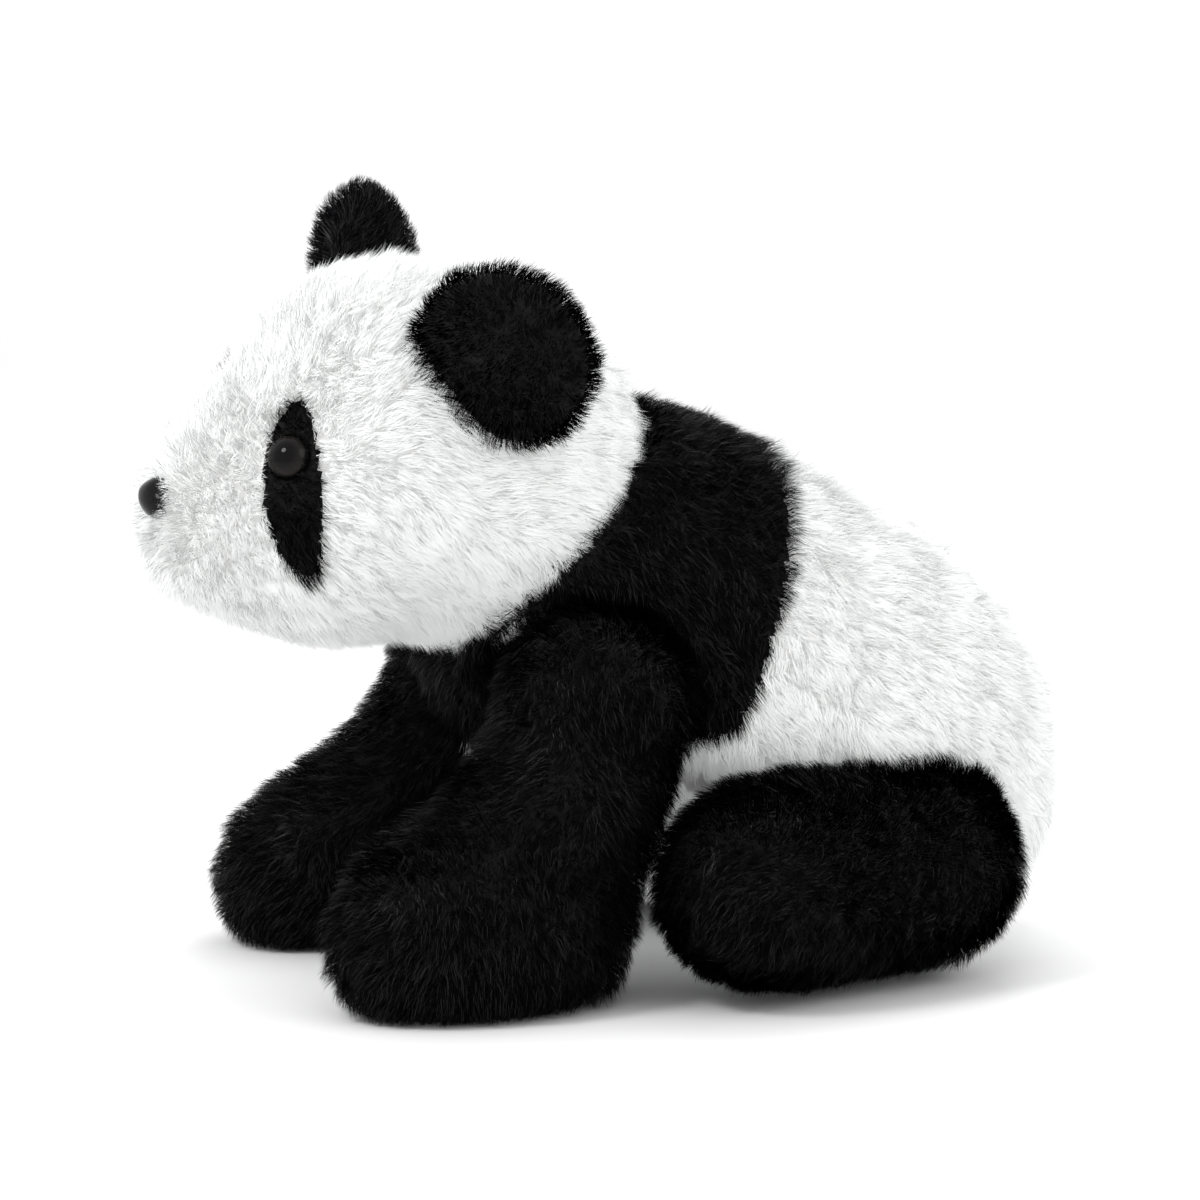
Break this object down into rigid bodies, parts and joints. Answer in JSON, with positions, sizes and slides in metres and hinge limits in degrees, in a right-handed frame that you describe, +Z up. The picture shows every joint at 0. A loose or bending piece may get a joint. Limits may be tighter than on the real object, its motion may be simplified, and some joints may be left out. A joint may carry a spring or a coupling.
{
  "type": "plush panda",
  "caption": "Sitting soft toy panda with a black yoke, ears, eye patches and legs, stuffed fabric panels and safety eyes.",
  "frame": {"origin": "middle of the bounding box in plan, on the surface that the toy sits on", "axes": "+Z up, -Y the way the nose points, +X the toy's own left side"},
  "size_m": [0.2208, 0.2968, 0.2399],
  "materials": {
    "black_plush": "deep black long-pile plush",
    "eye_plastic": "polished",
    "pellets": "small rounded pellets",
    "polyester_stuffing": "loose white fibre",
    "pouch_cloth": "plain woven cloth",
    "washer_plastic": "moulded",
    "white_plush": "bright white long-pile plush"
  },
  "bodies": {
    "torso": {"back_panel_left": "white_plush", "back_panel_right": "white_plush", "belly_panel": "white_plush", "chest_panel": "black_plush", "pellet_pouch": "pouch_cloth", "pouch_pellets": "pellets", "torso_stuffing": "polyester_stuffing", "yoke_panel_left": "black_plush", "yoke_panel_right": "black_plush"},
    "neck": {"neck_plug": "polyester_stuffing"},
    "head": {"chin_panel": "white_plush", "eye_left": "eye_plastic", "eye_patch_left": "black_plush", "eye_patch_right": "black_plush", "eye_right": "eye_plastic", "eye_washer_left": "washer_plastic", "eye_washer_right": "washer_plastic", "head_gusset": "white_plush", "head_side_panel_left": "white_plush", "head_side_panel_right": "white_plush", "head_stuffing": "polyester_stuffing", "nose": "eye_plastic", "nose_washer": "washer_plastic"},
    "ear_left": {"ear_back_left": "black_plush", "ear_front_left": "black_plush", "ear_stuffing_left": "polyester_stuffing"},
    "ear_right": {"ear_back_right": "black_plush", "ear_front_right": "black_plush", "ear_stuffing_right": "polyester_stuffing"},
    "foreleg_left": {"foreleg_inner_left": "black_plush", "foreleg_outer_left": "black_plush", "foreleg_sole_left": "black_plush", "foreleg_stuffing_left": "polyester_stuffing"},
    "foreleg_right": {"foreleg_inner_right": "black_plush", "foreleg_outer_right": "black_plush", "foreleg_sole_right": "black_plush", "foreleg_stuffing_right": "polyester_stuffing"},
    "hindleg_left": {"hindleg_inner_left": "black_plush", "hindleg_outer_left": "black_plush", "hindleg_sole_left": "black_plush", "hindleg_stuffing_left": "polyester_stuffing"},
    "hindleg_right": {"hindleg_inner_right": "black_plush", "hindleg_outer_right": "black_plush", "hindleg_sole_right": "black_plush", "hindleg_stuffing_right": "polyester_stuffing"},
    "tail": {"tail_lower_panel": "white_plush", "tail_stuffing": "polyester_stuffing", "tail_upper_panel": "white_plush"}
  },
  "joints": [
    {"name": "neck_nod", "type": "hinge", "parent": "torso", "child": "neck", "pos_m": [0, -0.048, 0.156], "axis": [1, 0, 0], "range_deg": [-10, 4], "stiffness_Nm_per_rad": 1.5},
    {"name": "neck_turn", "type": "hinge", "parent": "neck", "child": "head", "pos_m": [0, -0.048, 0.156], "axis": [0.2144, 0.0124, 0.9767], "range_deg": [-13, 13], "stiffness_Nm_per_rad": 1.5},
    {"name": "ear_left_flop", "type": "hinge", "parent": "head", "child": "ear_left", "pos_m": [0.06017, -0.0567, 0.18705], "axis": [0.3898, 0.74, -0.5481], "range_deg": [-15, 15], "stiffness_Nm_per_rad": 0.1},
    {"name": "ear_right_flop", "type": "hinge", "parent": "head", "child": "ear_right", "pos_m": [-0.04029, -0.06249, 0.20917], "axis": [-0.662, 0.6794, -0.3165], "range_deg": [-15, 15], "stiffness_Nm_per_rad": 0.1},
    {"name": "foreleg_left_swing", "type": "hinge", "parent": "torso", "child": "foreleg_left", "pos_m": [0.048, -0.021, 0.088], "axis": [-1, 0, 0], "range_deg": [-3, 20], "stiffness_Nm_per_rad": 1.2},
    {"name": "foreleg_right_swing", "type": "hinge", "parent": "torso", "child": "foreleg_right", "pos_m": [-0.048, -0.021, 0.088], "axis": [-1, 0, 0], "range_deg": [-3, 20], "stiffness_Nm_per_rad": 1.2},
    {"name": "hindleg_left_swing", "type": "hinge", "parent": "torso", "child": "hindleg_left", "pos_m": [0.066, 0.076, 0.0355], "axis": [1, 0, 0], "range_deg": [-2, 15], "stiffness_Nm_per_rad": 1.2},
    {"name": "hindleg_right_swing", "type": "hinge", "parent": "torso", "child": "hindleg_right", "pos_m": [-0.066, 0.076, 0.0355], "axis": [1, 0, 0], "range_deg": [-2, 15], "stiffness_Nm_per_rad": 1.2},
    {"name": "tail_flick", "type": "hinge", "parent": "torso", "child": "tail", "pos_m": [0, 0.132, 0.027], "axis": [1, 0, 0], "range_deg": [-10, 10], "stiffness_Nm_per_rad": 0.05}
  ]
}
